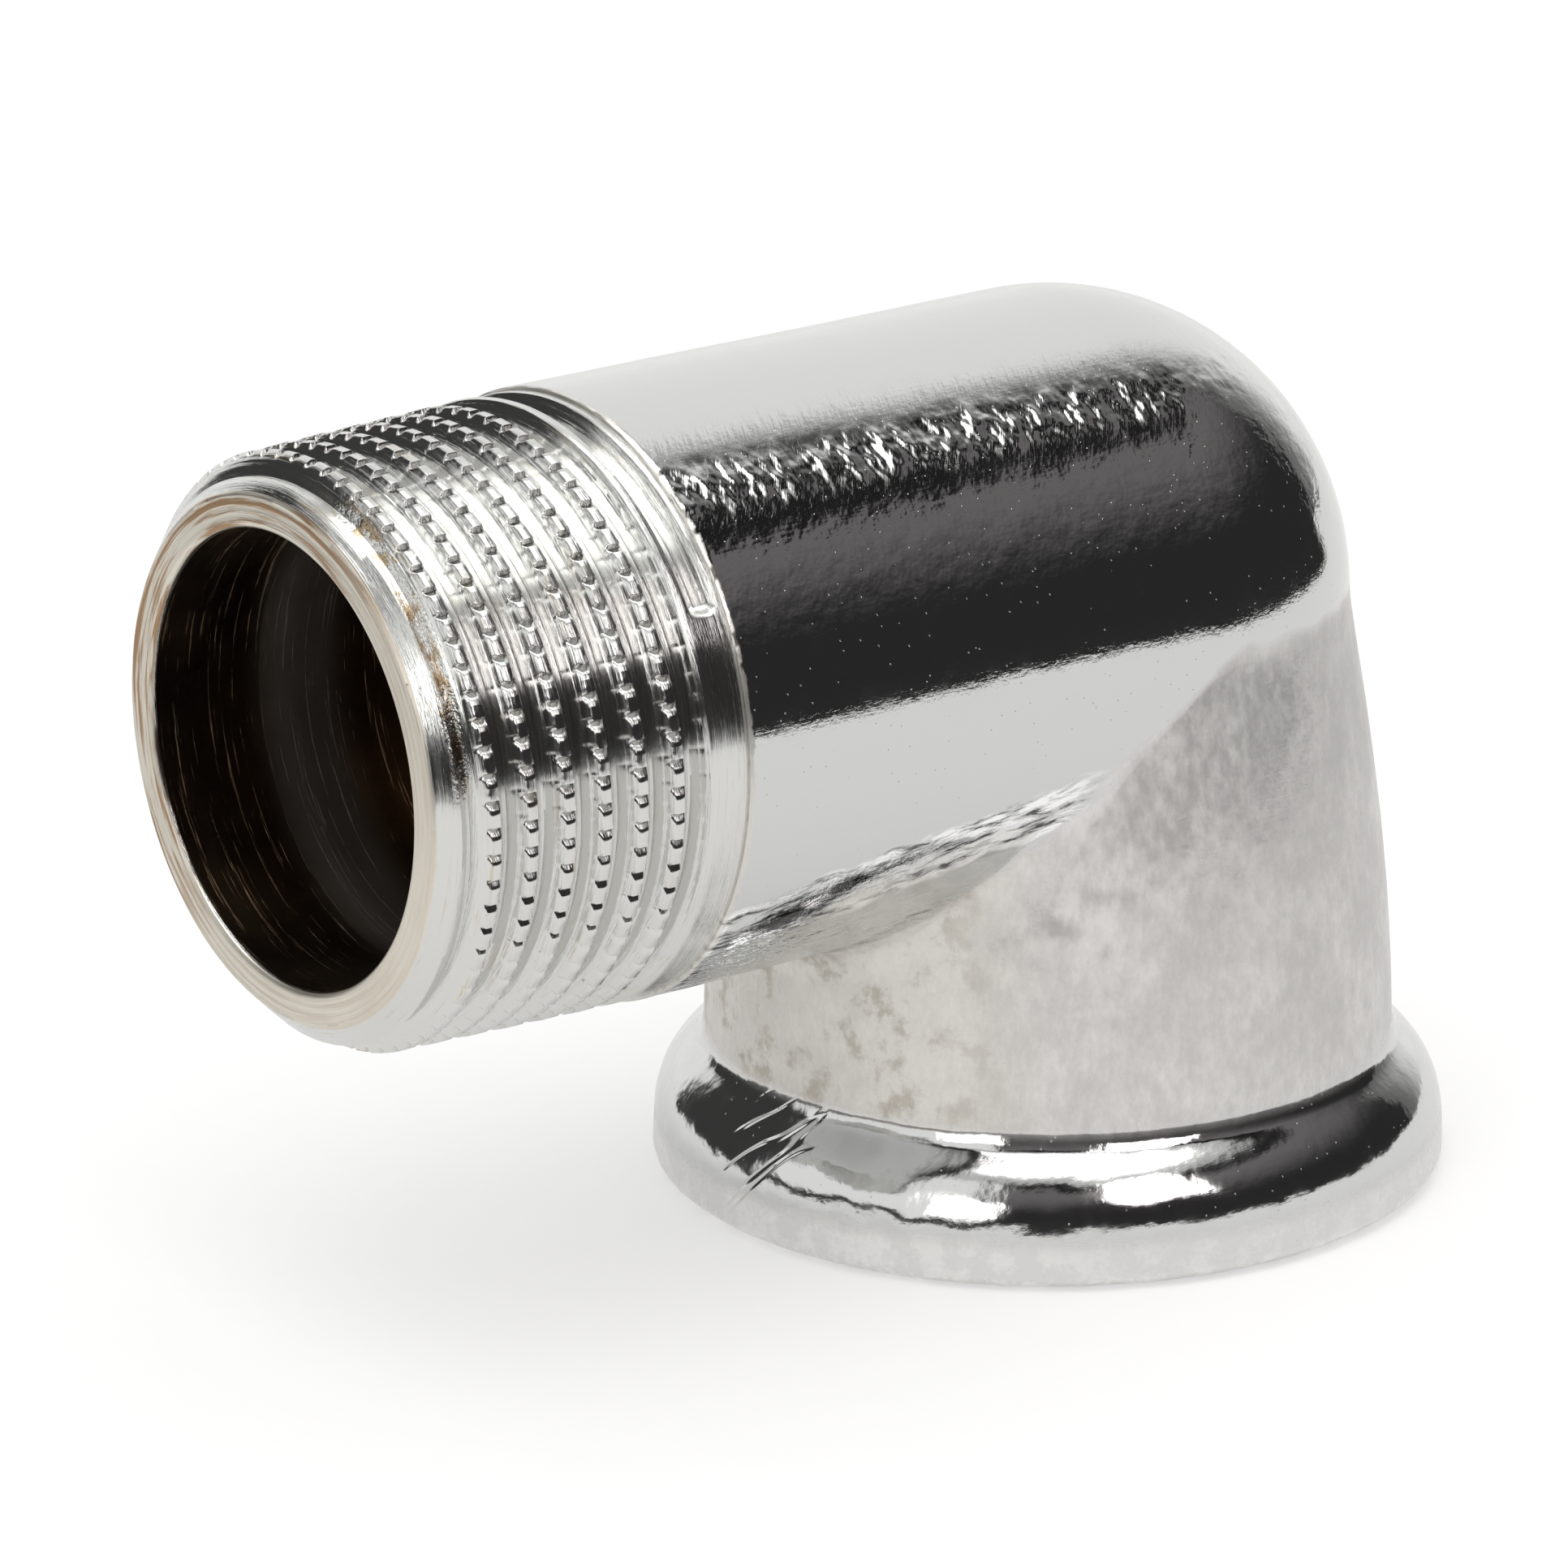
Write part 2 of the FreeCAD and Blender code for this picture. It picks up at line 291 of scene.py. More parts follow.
def with_root_fillet(leg, collar):
    """The larger of two radii, with a hollow fillet where they cross."""
    near = np.clip(ROOT_FILLET - np.abs(leg - collar), 0, None)
    return np.maximum(leg, collar) + near * near / (4 * ROOT_FILLET)


def body_field(points):
    """Negative inside the cast body, with a small fillet where the leg leaves the tube."""
    x, y, z = np.moveaxis(points, -1, 0)
    tube = np.sqrt(np.clip(x, 0, None) ** 2 + y * y + z * z) - BODY_RADIUS
    up = np.sqrt(x * x + y * y + np.clip(z, 0, None) ** 2)
    leg = up - leg_radius(-z)
    fillet = 0.02 + 1.7 * smooth(1.0, 12.0, -x) * smooth(1.0, 10.0, -z)
    near = np.clip(fillet - np.abs(tube - leg), 0, None)
    return np.minimum(tube, leg) - near * near / (4 * fillet)


def hollow_field(points):
    """Negative inside the cored bend of the waterway."""
    x, y, z = np.moveaxis(points, -1, 0)
    along = np.sqrt(np.clip(x, 0, None) ** 2 + y * y + z * z) - CORE_RADIUS
    down = np.sqrt(x * x + y * y + np.clip(z, 0, None) ** 2) - CORE_RADIUS
    return np.minimum(along, down)


def march(field, centres, directions, longest):
    """How far each direction runs from its centre to the surface of the field."""
    near = np.zeros(directions.shape[:-1])
    far = np.full(directions.shape[:-1], longest)
    for _ in range(32):
        middle = (near + far) / 2
        inside = field(centres + directions * middle[..., None]) < 0
        near = np.where(inside, middle, near)
        far = np.where(inside, far, middle)
    return near


def fan(back, down, count):
    """Centres and outward directions of section planes that swing from across the tube to
    across the leg, about a point outside the inner side of the bend."""
    turn = np.linspace(0, math.pi / 2, count)
    outward = np.stack([np.sin(turn), 0 * turn, np.cos(turn)], -1)
    reach = down + (back - down) * turn / (math.pi / 2)
    return outward * reach[:, None] - np.array([back, 0, down]), outward


def swept_rows(field, centres, outward, angles, longest=30.0):
    """Rows of surface points of a field in the section planes, with their ray directions."""
    side = np.array([0, 1.0, 0])
    directions = (np.cos(angles)[None, :, None] * outward[:, None, :]
                  + np.sin(angles)[None, :, None] * side)
    lengths = march(field, centres[:, None, :], directions, longest)
    return centres[:, None, :] + directions * lengths[..., None], directions


def straight_planes(start, end, count, axis):
    """Section planes across one of the two straight axes."""
    place = np.linspace(start, end, count)
    zero = np.zeros(count)
    if axis == "x":
        return np.stack([place, zero, zero], -1), np.tile([0, 0, 1.0], (count, 1))
    return np.stack([zero, zero, place], -1), np.tile([1.0, 0, 0], (count, 1))


def cast_relief(points):
    """Height of the cast surface above its true shape: long waves from the polishing belt,
    a strip of unpolished casting skin along the tube's upper front, uneven leg and collar,
    and streaks drawn along the tube's underside next to the leg."""
    x, y, z = np.moveaxis(points, -1, 0)
    waves = 0.030 * bumps(points, 0.10) + 0.0035 * bumps(points, 0.55, 7.0)
    strip = smooth(9.3, 10.3, z) * smooth(11.9, 11.2, z) * smooth(1.0, -3.0, y)
    strip = strip * (0.35 + 0.65 * smooth(2.0, -4.0, x))
    skin = 0.030 * bumps(points, 1.15, 3.0) + 0.012 * bumps(points, 2.4, 11.0)
    leg = smooth(-2.0, -6.0, z) * 0.006 * bumps(points, 0.9, 5.0)
    uneven = 0.025 * bumps(points, 0.25, 9.0) + 0.011 * bumps(points, 0.8, 1.0)
    collar = smooth(-20.0, -21.5, z) * uneven
    under = smooth(-8.0, -10.0, z) * smooth(-4.0, -8.0, x)
    streaks = 0.035 * bumps(points * np.array([0.35, 1.0, 1.0]), 0.9, 4.0)
    return waves + strip * skin + leg + collar + under * streaks


def collar_outline():
    """Drops and radii down the collar: root fillet, full upper curve, lower edge, foot."""
    top = RISE - COLLAR_HEIGHT
    widest = RISE - COLLAR_WIDEST
    drops = np.linspace(top, widest, 44)
    upper = with_root_fillet(FLARE_RADIUS + 0 * drops, collar_curve(drops))
    turn = np.linspace(0, math.pi / 2, 9)[1:]
    lower = COLLAR_FOOT + (COLLAR_RADIUS - COLLAR_FOOT) * np.cos(turn) ** 1.4
    lower_drops = widest + COLLAR_WIDEST * np.sin(turn)
    return np.concatenate([drops, lower_drops]), np.concatenate([upper, lower])


def body_shell(angles, relief):
    """Rows of the cast outside from the shoulder to the foot, with inward directions."""
    back, down = 17.2, 16.2
    tube = straight_planes(SHOULDER - MALE_REACH + 0.06, -back, 30, "x")
    bend = fan(back, down, 116)
    leg = straight_planes(-down, COLLAR_HEIGHT - RISE + 0.45, 16, "z")
    centres = np.concatenate([tube[0][:-1], bend[0], leg[0][1:]])
    outward = np.concatenate([tube[1][:-1], bend[1], leg[1][1:]])
    rows, directions = swept_rows(body_field, centres, outward, angles)
    drops, radii = collar_outline()
    keep = drops > RISE - COLLAR_HEIGHT + 0.10
    collar = rings_about_z(drops[keep, None], radii[keep, None] + 0 * angles, angles)
    sides = np.stack([np.cos(angles), np.sin(angles), 0 * angles], -1)
    rows = np.concatenate([rows, collar])
    directions = np.concatenate([directions, np.broadcast_to(sides, collar.shape)])
    if relief:
        fade = np.ones(rows.shape[:2])
        fade[0] = 0.3
        fade[-3:] = 0.0
        rows = rows + directions * (cast_relief(rows) * fade)[..., None]
    return rows, directions


def add_chrome_body(angles):
    """The plated casting: shoulder, tube, bend, leg, collar and the female end face."""
    rows, _ = body_shell(angles, relief=True)
    ragged = 0.03 * bumps(rows[0], 3.0, 2.0)[None, :]
    shoulder_radii = np.array([[NECK_RADIUS], [BAND_RADIUS - 0.3], [BODY_RADIUS - 0.05]])
    shoulder = rings_about_z(0 * shoulder_radii, shoulder_radii + 0 * angles, angles)
    shoulder = np.stack([0 * shoulder[..., 2], shoulder[..., 1], shoulder[..., 0]], -1)
    shoulder[..., 0] = SHOULDER - MALE_REACH
    shoulder[2, :, 0] += ragged[0]
    foot_radii = np.array([[COLLAR_FOOT - 0.5], [15.4], [MOUTH_RADIUS + 0.3], [MOUTH_RADIUS]])
    foot_drops = RISE - np.array([[0.0], [0.0], [0.0], [0.12]])
    foot = rings_about_z(foot_drops, foot_radii + 0 * angles, angles)
    inner = inner_skin(angles)[::-1]
    return make_piece("chrome_body", np.concatenate([shoulder, rows, foot, inner]), crease=40)


def inner_skin(angles):
    """Rows of the surface where plated shell and brass meet, from shoulder to mouth."""
    rows, directions = body_shell(angles, relief=False)
    picked = np.arange(0, len(rows), 6)
    picked = picked[rows[picked, :, 2].min(axis=1) > 3.0 - RISE]
    inside = rows[picked] - directions[picked] * SKIN
    inside[0, :, 0] = SHOULDER - MALE_REACH + SKIN
    end = rings_about_z(RISE - np.array([[2.0], [0.3]]),
                        np.array([[14.3], [MOUTH_RADIUS]]) + 0 * angles, angles)
    return np.concatenate([inside, end])


# ---------------------------------------------------------------- brass inside


def bore_rows(angles):
    """The turned bore in the male end, with tool rings, and the cored tube behind it."""
    turned = np.linspace(LIP, BORE_DEPTH, 52)
    turned_radii = BORE_RADIUS + 0.012 * np.sin(turned * 31.0) + 0.008 * np.sin(turned * 57.0)
    cored = np.linspace(BORE_DEPTH + 0.3, MALE_REACH - BEND_BACK, 46)
    step = (BORE_RADIUS - CORE_RADIUS) * np.exp(-(cored - BORE_DEPTH) / 1.2)
    cored_radii = CORE_RADIUS + step + 0.01 * np.sin(cored * 9.0)
    depths = np.concatenate([turned, cored])[:, None]
    radii = np.concatenate([turned_radii, cored_radii])[:, None]
    return rings_about_x(depths, radii + 0 * angles, angles)


def socket_radius(drop, angles):
    """Radius of the tapped socket: ridges of the female thread, run out at its deep end."""
    phase = drop / PITCH + angles / TURN
    away = np.abs(phase - np.round(phase)) * PITCH
    cut = THREAD_RADIUS - SOCKET_RADIUS
    ridge = np.clip(cut - np.clip(away - 0.15, 0, None) * FLANK, 0, None)
    deep_end = SOCKET_MIDDLE - SOCKET_LENGTH / 2
    runout = smooth(deep_end + 0.6, deep_end + 2.8, drop)
    radius = SOCKET_RADIUS + ridge * runout
    countersink = MOUTH_RADIUS - (RISE - drop)
    return np.maximum(radius, countersink)


def socket_rows(angles):
    """The tapped socket from its drilled floor down to the mouth."""
    deep_end = SOCKET_MIDDLE - SOCKET_LENGTH / 2
    floor_drops = np.array([[deep_end - 0.45], [deep_end - 0.1]])
    floor_radii = np.array([[CORE_RADIUS + 0.1], [SOCKET_RADIUS]])
    floor = rings_about_z(floor_drops, floor_radii + 0 * angles, angles)
    marks = np.linspace(-0.5, 0.5, 14, endpoint=False)
    drops = helix_rows(deep_end, RISE - LIP, deep_end, marks, angles / TURN)
    thread = rings_about_z(drops, socket_radius(drops, angles), angles)
    return np.concatenate([floor, thread])


def add_brass(angles):
    """The brass inside: turned bore, cored bend and tapped socket, out to the plated shell."""
    as_bend = math.pi / 2 - angles
    bore = bore_rows(angles)
    centres, outward = fan(BEND_BACK, BEND_DOWN, 40)
    bend, _ = swept_rows(hollow_field, centres, outward, angles)
    bore = rings_like_bend(bore, as_bend)
    socket = socket_rows(angles)
    outer = inner_skin(angles)[::-1]
    neck = np.array([[SHOULDER + 0.4, NECK_RADIUS - 0.1], [LIP, BORE_RADIUS + 0.9]])
    under_thread = rings_about_x(neck[:, :1], neck[:, 1:] + 0 * angles, as_bend)
    rows = np.concatenate([bore, bend[1:], socket, outer, under_thread])
    return make_piece("brass_inside", rows, crease=35)


def rings_like_bend(rows, as_bend):
    """Re-aim rows about the male axis so that their columns match those of the bend."""
    radii = np.hypot(rows[..., 1], rows[..., 2])
    return rings_about_x(rows[..., 0] + MALE_REACH, radii, as_bend)


# ---------------------------------------------------------------- materials


class Shader:
    """A node tree with short names for the nodes that the finishes use."""

    def __init__(self, tree):
        self.tree = tree
        self.tree.nodes.clear()

    def node(self, kind, settings=None, **inputs):
        made = self.tree.nodes.new("ShaderNode" + kind)
        for key, value in (settings or {}).items():
            setattr(made, key, value)
        for key, value in inputs.items():
            self.plug(made.inputs[key.replace("_", " ")], value)
        return made

    def plug(self, socket, value):
        if isinstance(value, bpy.types.NodeSocket):
            self.tree.links.new(value, socket)
        else:
            socket.default_value = value

    def math(self, operation, *values):
        made = self.node("Math", {"operation": operation})
        for socket, value in zip(made.inputs, values):
            self.plug(socket, value)
        return made.outputs[0]

    def ease(self, value, low, high, start=0.0, end=1.0):
        """start where value is below low, end above high, and an eased ramp between."""
        made = self.node("MapRange", {"interpolation_type": "SMOOTHSTEP"}, Value=value)
        limits = {"From Min": low, "From Max": high, "To Min": start, "To Max": end}
        for key, number in limits.items():
            self.plug(made.inputs[key], number)
        return made.outputs["Result"]

    def noise(self, vector, scale, detail=3.0, roughness=0.55):
        made = self.node("TexNoise", None, Vector=vector, Scale=scale, Detail=detail,
                         Roughness=roughness)
        return made.outputs["Fac"]

    def cells(self, vector, scale):
        """Distance to the nearest of many scattered points, in units of 1 / scale."""
        return self.node("TexVoronoi", None, Vector=vector, Scale=scale).outputs["Distance"]

    def stretch(self, vector, x, y, z):
        made = self.node("VectorMath", {"operation": "MULTIPLY"})
        self.plug(made.inputs[0], vector)
        made.inputs[1].default_value = (x, y, z)
        return made.outputs[0]

    def blend(self, share, first, second):
        """A colour that goes from first to second as share goes from 0 to 1."""
        made = self.node("Mix", {"data_type": "RGBA"})
        for socket, value in zip((made.inputs[0], made.inputs[6], made.inputs[7]),
                                 (share, first, second)):
            self.plug(socket, value)
        return made.outputs[2]

    def combine(self, operation, values):
        result = values[0]
        for value in values[1:]:
            result = self.math(operation, result, value)
        return result

    def product(self, *values):
        return self.combine("MULTIPLY", values)

    def total(self, *values):
        return self.combine("ADD", values)

    def largest(self, *values):
        return self.combine("MAXIMUM", values)

    def length(self, *sides):
        return self.math("SQRT", self.total(*(self.product(side, side) for side in sides)))

    def degrees_round(self, ahead, across):
        """Direction in degrees, 0 straight ahead and 90 straight across."""
        return self.product(self.math("ARCTAN2", across, ahead), 180 / math.pi)

    def window(self, value, low, high, soft):
        """1 between two limits and 0 outside, with eased edges."""
        rise = self.ease(value, low - soft, low + soft)
        fall = self.ease(value, high - soft, high + soft, 1.0, 0.0)
        return self.product(rise, fall)

    def without(self, share):
        """1 where share is 0, and 0 where share is 1."""
        return self.ease(share, 0, 1, 1.0, 0.0)

    def centred(self, value):
        """A noise moved to swing about 0, so that fading it in doesn't raise the surface."""
        return self.total(value, -0.5)

    def vector(self, x, y, z=0.0):
        return self.node("CombineXYZ", None, X=x, Y=y, Z=z).outputs[0]

    def mix(self, share, first, second):
        """A surface that goes from first to second as share goes from 0 to 1."""
        made = self.node("MixShader", None, Fac=share)
        self.plug(made.inputs[1], first.outputs[0])
        self.plug(made.inputs[2], second.outputs[0])
        return made

    def bump(self, height, strength):
        """A normal for a height in millimetres."""
        made = self.node("Bump", None, Height=height, Distance=MM, Strength=strength)
        return made.outputs["Normal"]


class Finish(Shader):
    """A material that knows where it is, in millimetres from the axis crossing."""

    def __init__(self, name):
        self.material = bpy.data.materials.new(name)
        self.material.use_nodes = True
        super().__init__(self.material.node_tree)
        place = self.node("TexCoord").outputs["Object"]
        scaled = self.stretch(place, 1 / MM, 1 / MM, 1 / MM)
        moved = self.node("VectorMath", {"operation": "SUBTRACT"})
        self.plug(moved.inputs[0], scaled)
        moved.inputs[1].default_value = (0, 0, RISE)
        self.place = moved.outputs[0]
        apart = self.node("SeparateXYZ", None, Vector=self.place)
        self.x, self.y, self.z = apart.outputs
        self.frontward = self.product(self.y, -1.0)
        self.male_depth = self.total(self.x, MALE_REACH)
        self.male_radius = self.length(self.y, self.z)

    def metal(self, colour, roughness, normal):
        return self.node("BsdfPrincipled", None, Base_Color=colour, Metallic=1.0,
                         Roughness=roughness, Normal=normal)

    def finish(self, surface):
        self.plug(self.node("OutputMaterial").inputs["Surface"], surface.outputs[0])
        return self.material


CHROME = (0.655, 0.66, 0.65, 1)
# The next two colours paint dark and bright reflection streaks on the tube's underside.
PAINTED_REFLECTION_DARK = (0.10, 0.10, 0.105, 1)
PAINTED_REFLECTION_BRIGHT = (1.0, 1.0, 1.0, 1)
CHROME_TURNED = (0.70, 0.70, 0.68, 1)
SATIN = (0.64, 0.63, 0.615, 1)
HAZE_DULL = (0.74, 0.73, 0.71, 1)
HAZE_PALE = (0.95, 0.94, 0.915, 1)
HAZE_WARM = (0.80, 0.77, 0.70, 1)
# The foot's hazy plating, its colour raised to near white as painted light against the floor
# shadow it mirrors.
FOOT_HAZE_PAINTED_PALE = (0.97, 0.96, 0.94, 1)
STAIN = (0.36, 0.30, 0.21, 1)
SHOULDER_CREAM = (0.74, 0.71, 0.64, 1)
FACE_CREAM = (0.74, 0.70, 0.61, 1)
FACE_COPPER = (0.38, 0.23, 0.12, 1)
BRASS_TINT = (0.60, 0.50, 0.33, 1)
BRASS_CRUMBS = (0.46, 0.36, 0.24, 1)
BRASS_DEEP = (0.13, 0.095, 0.07, 1)
BRASS_WARM = (0.20, 0.14, 0.09, 1)
# painted highlight colour for the bright ring lines in the bore
PAINTED_RING_GLINT = (0.75, 0.53, 0.34, 1)
# the cored wall's own grey, partly painted reflected light
CORED_GREY_AND_PAINTED_LIGHT = (0.24, 0.23, 0.215, 1)


def leg_mask(m):
    """1 on the hazy leg and 0 on the polished tube and collar. The edge wanders a little."""
    wobble = m.noise(m.place, 0.45, 2.0)
    past_bend = m.math("MAXIMUM", m.x, 0.0)
    off_tube = m.total(m.length(past_bend, m.y, m.z), m.product(wobble, 0.2), -BODY_RADIUS - 0.10)
    crotch = m.total(m.x, m.product(m.z, -1.45), m.product(wobble, 0.6))
    near_top = m.product(m.ease(crotch, -0.5, 0.3), m.ease(m.z, -5.5, -4.0))
    outside = m.largest(m.ease(off_tube, 0.04, 0.20), near_top)
    below = m.ease(m.total(m.z, wobble), 1.0, 0.25)
    above_collar = m.ease(m.z, -20.9, -19.8)
    return m.product(outside, below, above_collar)


def leg_haze_and_painted_sheen(m, grain, stained):
    """Colour of the leg's hazy plating: blotches and fine grain, with two paler upright streaks
    that are painted reflections, set by the angle round the leg.
    """
    blotch = m.noise(m.place, 0.28, 4.0, 0.6)
    wander = m.total(m.degrees_round(m.frontward, m.x), m.product(blotch, 16.0))
    # painted reflection: two paler upright bands, placed by the angle round the leg
    left_painted_sheen = m.product(m.window(wander, -58, -44, 3.0), m.ease(m.z, -8, -13))
    middle_painted_sheen = m.product(m.window(wander, -26, -17, 3.0), m.ease(m.z, -15, -10), 0.8)
    painted_streak = m.largest(left_painted_sheen, middle_painted_sheen)
    shade = m.total(m.product(blotch, 0.55), m.product(grain, 0.45), m.product(painted_streak, 0.17))
    colour = m.blend(m.ease(shade, 0.36, 0.70), HAZE_DULL, HAZE_PALE)
    colour = m.blend(m.product(m.ease(m.x, -8.0, -13.0), 0.5), colour, HAZE_WARM)
    return m.blend(m.product(stained, 0.45), colour, STAIN)


def underside_painted_reflections(m):
    """Below zero where the tube's lower front gets dark streaks of painted reflection, above
    zero where it gets bright ones. They lie just under a line that drops towards the male end."""
    slope = 0.157
    height = -4.33 + slope * 11.2
    wave = m.centred(m.noise(m.place, 0.35, 2.0))
    off_line = m.total(m.z, m.product(m.x, -slope), m.product(wave, 1.2), -height)
    zone = m.product(m.window(off_line, -2.7, -0.1, 0.35), m.ease(m.x, -5.0, -10.0),
                     m.ease(m.y, -5.0, -8.0))
    painted_streak = m.noise(m.vector(m.product(m.x, 0.45), m.product(off_line, 2.6)), 1.0, 4.0, 0.65)
    return m.product(zone, m.ease(painted_streak, 0.35, 0.57, -1.0, 1.0))


def overall_relief(m, mottle):
    """Fine grain, belt scratches and small pits that cover the whole casting."""
    fine = m.noise(m.place, 4.0, 3.0, 0.6)
    scratches = m.noise(m.stretch(m.place, 0.5, 6.0, 6.0), 1.0, 3.0, 0.7)
    pits = m.ease(m.cells(m.place, 2.0), 0.045, 0.085, -1.0, 0.0)
    return m.total(m.product(fine, m.ease(m.z, -20.0, -21.5, 0.008, 0.004)),
                   m.product(mottle, 0.02), m.product(scratches, 0.005), m.product(pits, 0.02))


def tube_relief(m, mottle, on_leg):
    """Broken skin in a strip along the tube's upper front, slanting hair lines above it,
    mottling below it, and streaks along the underside near the leg."""
    front = m.ease(m.y, -2.0, 1.0, 1.0, 0.0)
    strip = m.product(m.window(m.z, 10.0, 11.4, 0.5), front, m.ease(m.x, -6.0, 8.0, 1.0, 0.2))
    skin = m.centred(m.noise(m.stretch(m.place, 0.75, 0.55, 0.55), 1.0, 2.0, 0.5))
    slant = m.total(m.x, m.product(m.z, -0.9))
    slanted = m.vector(m.product(slant, 3.0), m.product(m.y, 0.5), m.product(m.z, 0.4))
    hair = m.product(m.noise(slanted, 1.0, 3.0, 0.6), m.window(m.z, 9.5, 13.0, 1.0))
    shade = m.product(m.window(m.z, 4.0, 9.5, 2.0), front)
    under = m.product(m.window(m.z, -14.5, -9.0, 1.0), m.ease(m.x, -6.0, -10.0),
                      m.without(on_leg))
    streaks = m.centred(m.noise(m.stretch(m.place, 0.5, 1.8, 1.8), 1.0, 3.0, 0.6))
    return m.total(m.product(skin, strip, 0.60), m.product(hair, 0.03),
                   m.product(mottle, shade, 0.09), m.product(streaks, under, 0.30))


def collar_relief(m):
    """Uneven polish on the collar, rougher on the left, and a few crossing scratches there."""
    collar = m.product(m.ease(m.z, -20.0, -21.5), m.ease(m.z, -24.8, -25.6, 1.0, 0.3))
    uneven = m.centred(m.noise(m.place, 0.5, 2.5, 0.5))
    rougher = m.ease(m.x, -12.0, -16.0, 1.0, 1.6)
    across = m.vector(m.product(m.total(m.y, m.z), 0.5), m.product(m.x, 0.25))
    crossing = m.math("ABSOLUTE", m.centred(m.noise(across, 1.0, 1.0)))
    scars = m.product(m.ease(crossing, 0.0, 0.05, -1.0, 0.0), m.ease(m.x, -13.0, -14.5),
                      m.window(m.y, -3.8, 0.4, 0.7))
    return m.product(collar, m.total(m.product(rougher, uneven, 0.075),
                                     m.product(scars, 0.12)))


def polished_colour(m, on_leg, stained, lip):
    """Colour of the mirror-like plating, with painted reflection streaks under the tube, stains
    and the cream shoulder edge.
    """
    # painted reflection: dark and bright streaks under the tube
    painted_reflection = m.product(underside_painted_reflections(m), m.without(on_leg))
    colour = m.blend(m.ease(painted_reflection, -1.0, -0.1, 1.0, 0.0), CHROME, PAINTED_REFLECTION_DARK)
    colour = m.blend(m.ease(painted_reflection, 0.1, 1.0), colour, PAINTED_REFLECTION_BRIGHT)
    colour = m.blend(on_leg, colour, SATIN)
    colour = m.blend(m.product(stained, 0.6), colour, STAIN)
    return m.blend(m.product(lip, 0.6), colour, SHOULDER_CREAM)


def cast_chrome():
    """Plated casting: polished tube and collar, hazy satin leg, a few stains and pits."""
    m = Finish("chrome_cast")
    on_leg = leg_mask(m)
    grain = m.noise(m.stretch(m.place, 1.6, 1.6, 0.9), 1.0, 4.0, 0.6)
    mottle = m.noise(m.place, 0.7, 3.0)
    stained = m.product(m.ease(m.noise(m.place, 0.5, 6.0, 0.7), 0.50, 0.64), on_leg,
                        m.ease(m.x, -14.0, -10.0, 1.0, 0.0))
    ragged = m.product(m.noise(m.place, 1.5, 2.0), 0.5)
    lip = m.ease(m.total(m.male_depth, ragged), SHOULDER + 0.38, SHOULDER + 0.55, 1.0, 0.0)
    on_collar = m.ease(m.z, -20.5, -21.5)
    on_foot = m.ease(m.z, -24.0, -25.2)
    on_top = m.ease(m.z, 11.8, 13.2)
    rough = m.total(0.045, m.product(m.ease(mottle, 0.45, 0.7), 0.05), m.product(on_top, 0.10),
                    m.product(on_leg, 0.06), m.product(on_collar, 0.035),
                    m.product(on_foot, 0.10), m.product(lip, 0.3))
    relief = m.total(overall_relief(m, mottle), tube_relief(m, mottle, on_leg),
                     collar_relief(m), m.product(m.centred(grain), on_leg, 0.03))
    normal = m.bump(relief, 0.6)
    bright = m.metal(polished_colour(m, on_leg, stained, lip), rough, normal)
    # hazy leg and foot colour, with the leg's painted reflection streaks and the foot lightened
    # as painted light
    haze_and_painted_light_colour = m.blend(on_foot, leg_haze_and_painted_sheen(m, grain, stained), FOOT_HAZE_PAINTED_PALE)
    haze = m.metal(haze_and_painted_light_colour, 0.62, normal)
    hazy_leg = m.product(on_leg, m.ease(grain, 0.3, 0.7, 0.75, 0.93))
    hazy_foot = m.product(on_foot, m.ease(mottle, 0.4, 0.6, 0.45, 0.75))
    return m.finish(m.mix(m.largest(hazy_leg, hazy_foot), bright, haze))


def turned_chrome():
    """Plated male end: bright tool rings, brass showing through in lines and on the face."""
    m = Finish("chrome_turned")
    around = m.math("ARCTAN2", m.z, m.y)
    rings = m.noise(m.stretch(m.place, 9.0, 0.18, 0.18), 1.0, 4.0, 0.7)
    arcs = m.vector(m.product(m.male_radius, 3.2), m.product(around, 1.6))
    face_arcs = m.noise(arcs, 1.0, 4.0, 0.6)
    lines = m.vector(m.product(m.male_radius, 13.0), m.product(around, 0.4))
    face_lines = m.noise(lines, 1.0, 3.0, 0.7)
    on_face = m.ease(m.male_depth, 0.10, 0.20, 1.0, 0.0)
    patch = m.noise(m.place, 0.30, 3.0)
    worn = m.product(m.ease(rings, 0.56, 0.66), m.ease(patch, 0.42, 0.62))
    near_face = m.ease(m.male_depth, 1.5, 7.0, 0.9, 0.45)
    colour = m.blend(m.product(worn, near_face), CHROME_TURNED, BRASS_TINT)
    colour = m.blend(on_face, colour, FACE_CREAM)
    upper_left = m.ease(m.total(m.z, m.product(m.y, 1.2)), -6.0, 8.0, 0.15, 1.0)
    copper = m.product(on_face, m.ease(face_arcs, 0.46, 0.58), upper_left, 0.95)
    colour = m.blend(copper, colour, FACE_COPPER)
    crumbs = m.noise(m.stretch(m.place, 2.2, 0.9, 0.9), 1.0, 4.0, 0.7)
    edge_wear = m.product(m.window(m.male_depth, 0.75, 1.45, 0.12),
                          m.window(m.degrees_round(m.frontward, m.z), 8, 72, 8.0))
    colour = m.blend(m.product(edge_wear, m.ease(crumbs, 0.48, 0.58)), colour, BRASS_CRUMBS)
    rough = m.total(0.09, m.product(m.ease(rings, 0.3, 0.8), 0.10), m.product(on_face, 0.25))
    relief = m.total(m.product(rings, m.ease(on_face, 0, 1, 0.045, 0.0)),
                     m.product(crumbs, edge_wear, 0.15), m.product(face_lines, on_face, 0.03),
                     m.product(face_arcs, on_face, 0.03))
    return m.finish(m.metal(colour, rough, m.bump(relief, 0.7)))


